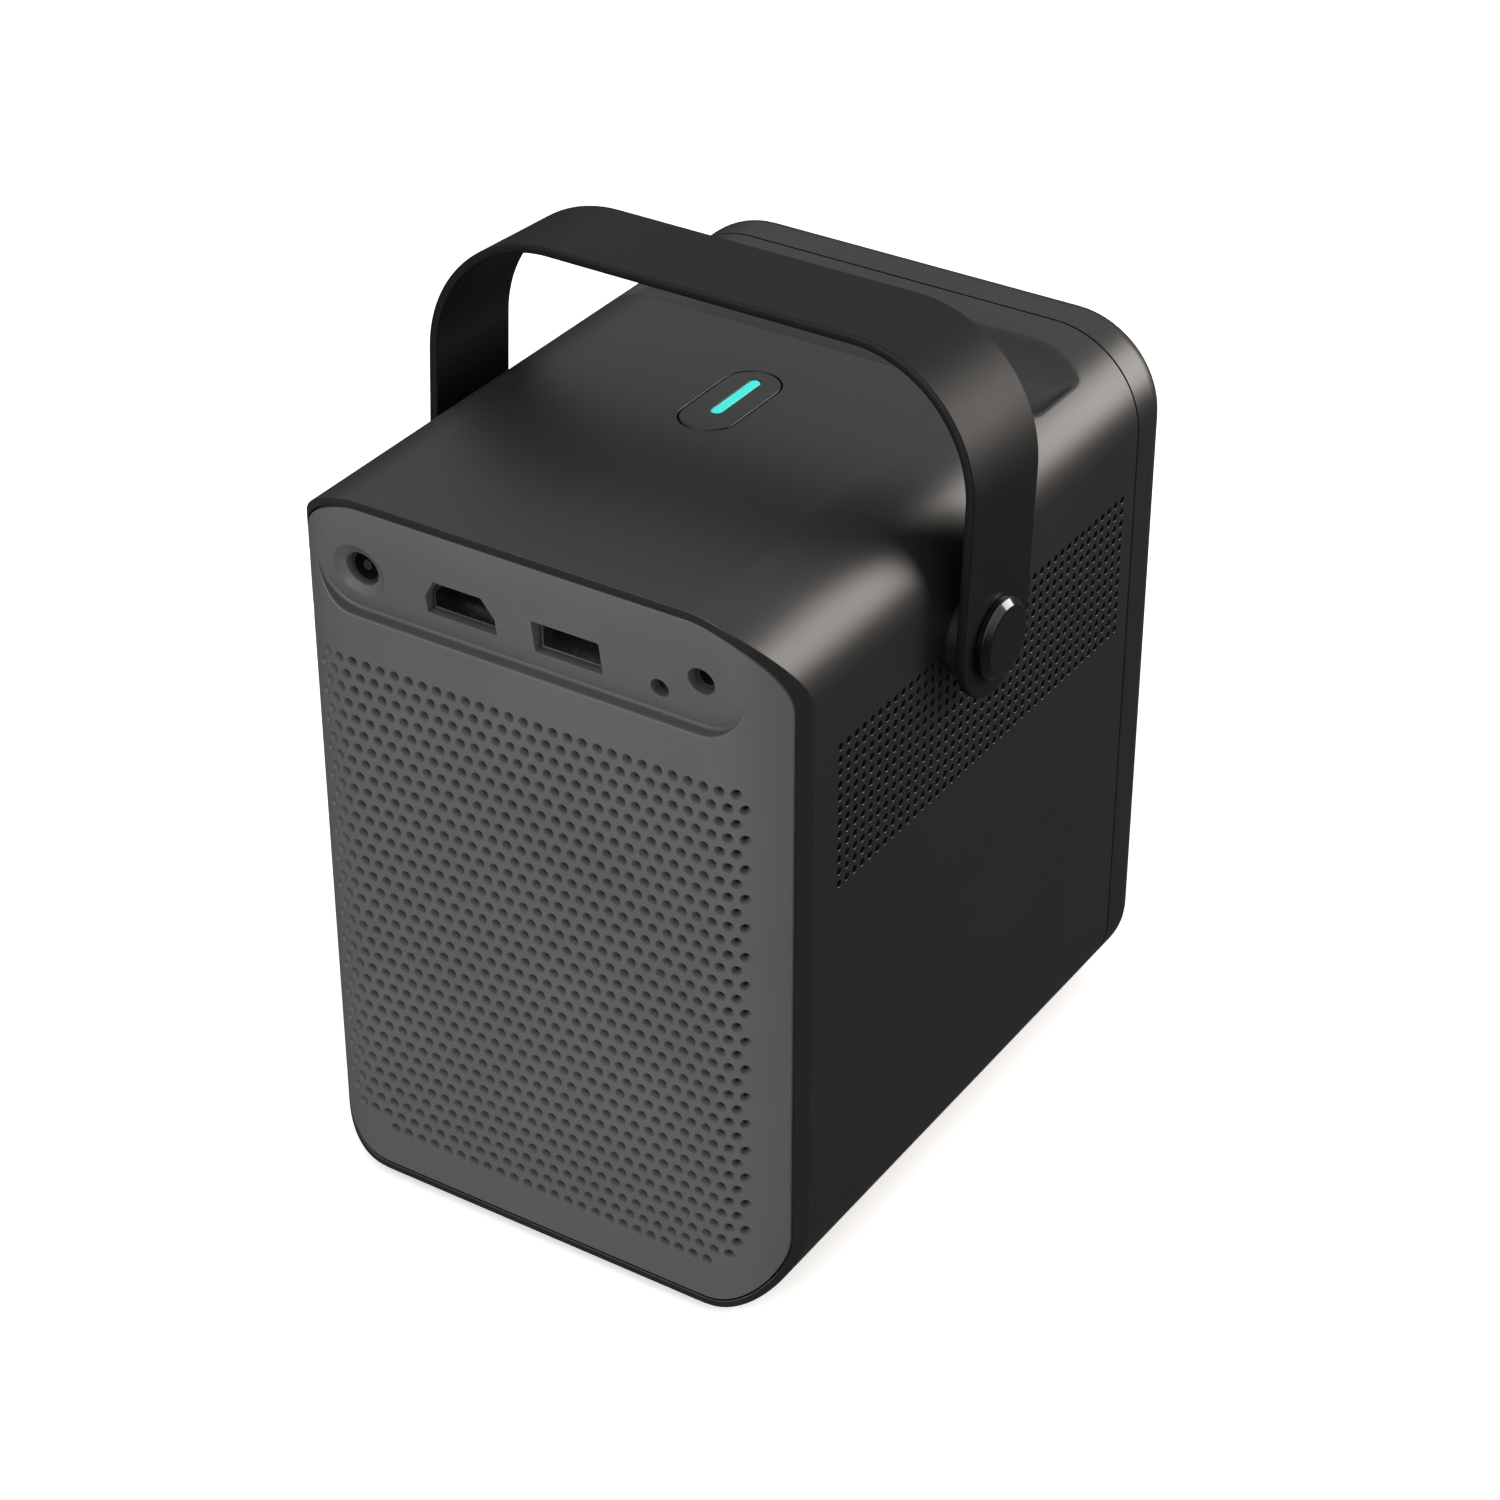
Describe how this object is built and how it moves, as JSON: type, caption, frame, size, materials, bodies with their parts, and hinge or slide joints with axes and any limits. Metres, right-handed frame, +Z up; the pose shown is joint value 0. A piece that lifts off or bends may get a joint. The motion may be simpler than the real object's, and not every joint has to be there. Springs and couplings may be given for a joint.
{
  "type": "portable home projector",
  "caption": "Tall boxy home projector with a rounded dark case, perforated rear and side bands, a folding strap handle, a lit top key, rear sockets and a focusing lens.",
  "frame": {"origin": "on the surface that the feet stand on, under the middle of the case", "axes": "+Z up, -Y the way the lens looks, +Y towards the rear sockets, +X along the width"},
  "size_m": [0.129, 0.147, 0.1883],
  "materials": {
    "case_shell": "satin dark grey",
    "rear_plastic": "fine matt dark grey",
    "bezel_plastic": "satin dark grey",
    "front_window": "polished near black",
    "handle_metal": "satin dark grey",
    "pivot_black": "polished black",
    "foot_rubber": "matt",
    "washer_nylon": "matt black",
    "plain_steel": "plain",
    "insert_brass": "turned",
    "tray_aluminium": "folded sheet",
    "sink_aluminium": "extruded",
    "board_green": "solder mask",
    "socket_steel": "nickel plated",
    "socket_black": "moulded black",
    "key_plastic": "satin dark grey",
    "bar_light": "lit pale cyan",
    "engine_black": "matt black",
    "optical_glass": "coated",
    "lcd_glass": "polarised",
    "ring_plastic": "ribbed black",
    "fan_plastic": "moulded black",
    "speaker_paper": "pressed cone on a steel basket"
  },
  "bodies": {
    "case": {"sleeve": "case_shell", "vent_grille_left": "case_shell", "vent_grille_right": "case_shell", "front_bezel": "bezel_plastic", "front_panel": "front_window", "ir_window": "front_window", "rear_panel": "rear_plastic", "rubber_feet": "foot_rubber", "base_screws": "plain_steel", "tripod_insert": "insert_brass", "inner_frame": "tray_aluminium", "main_board": "board_green", "dc_jack": "socket_black", "hdmi_port": "socket_steel", "usb_port": "socket_steel", "audio_jack": "socket_black", "rear_sensor": "front_window", "power_board": "board_green", "button_board": "board_green", "button_switch": "socket_black", "optical_engine": "engine_black", "condenser_lens": "optical_glass", "fresnel_rear": "optical_glass", "lcd_panel": "lcd_glass", "fresnel_front": "optical_glass", "lens_tube": "engine_black", "led_board": "sink_aluminium", "heatsink": "sink_aluminium", "fan_frame": "fan_plastic", "speaker_left": "speaker_paper", "speaker_right": "speaker_paper", "pivot_bolt_left": "pivot_black", "pivot_bolt_right": "pivot_black", "pivot_boss_left": "bezel_plastic", "pivot_boss_right": "bezel_plastic", "pivot_washer_left": "washer_nylon", "pivot_washer_right": "washer_nylon", "pivot_plate_left": "plain_steel", "pivot_plate_right": "plain_steel"},
    "handle": {"handle_strap": "handle_metal"},
    "button": {"power_button": "key_plastic", "light_bar": "bar_light"},
    "focus": {"focus_ring": "ring_plastic"},
    "lens": {"lens_barrel": "engine_black", "front_element": "optical_glass", "rear_element": "optical_glass"},
    "fan": {"fan_rotor": "fan_plastic"}
  },
  "joints": [
    {"name": "handle_fold", "type": "hinge", "parent": "case", "child": "handle", "pos_m": [0, 0.0065, 0.1288], "axis": [1, 0, 0], "range_deg": [-43, 40]},
    {"name": "button_press", "type": "slide", "parent": "case", "child": "button", "axis": [0, 0, -1], "range_m": [0, 0.0008], "stiffness_N_per_m": 500, "springref_m": -0.001},
    {"name": "focus_turn", "type": "hinge", "parent": "case", "child": "focus", "pos_m": [0, -0.066, 0.1], "axis": [0, 1, 0], "range_deg": [-45, 45]},
    {"name": "lens_slide", "type": "slide", "parent": "case", "child": "lens", "axis": [0, 1, 0], "range_m": [-0.0015, 0.0015]},
    {"name": "fan_spin", "type": "hinge", "parent": "case", "child": "fan", "pos_m": [0, 0.0475, 0.1], "axis": [0, 1, 0], "continuous": true}
  ],
  "couplings": [
    {"joint": "lens_slide", "follows": "focus_turn", "m_per_rad": 0.0019}
  ]
}
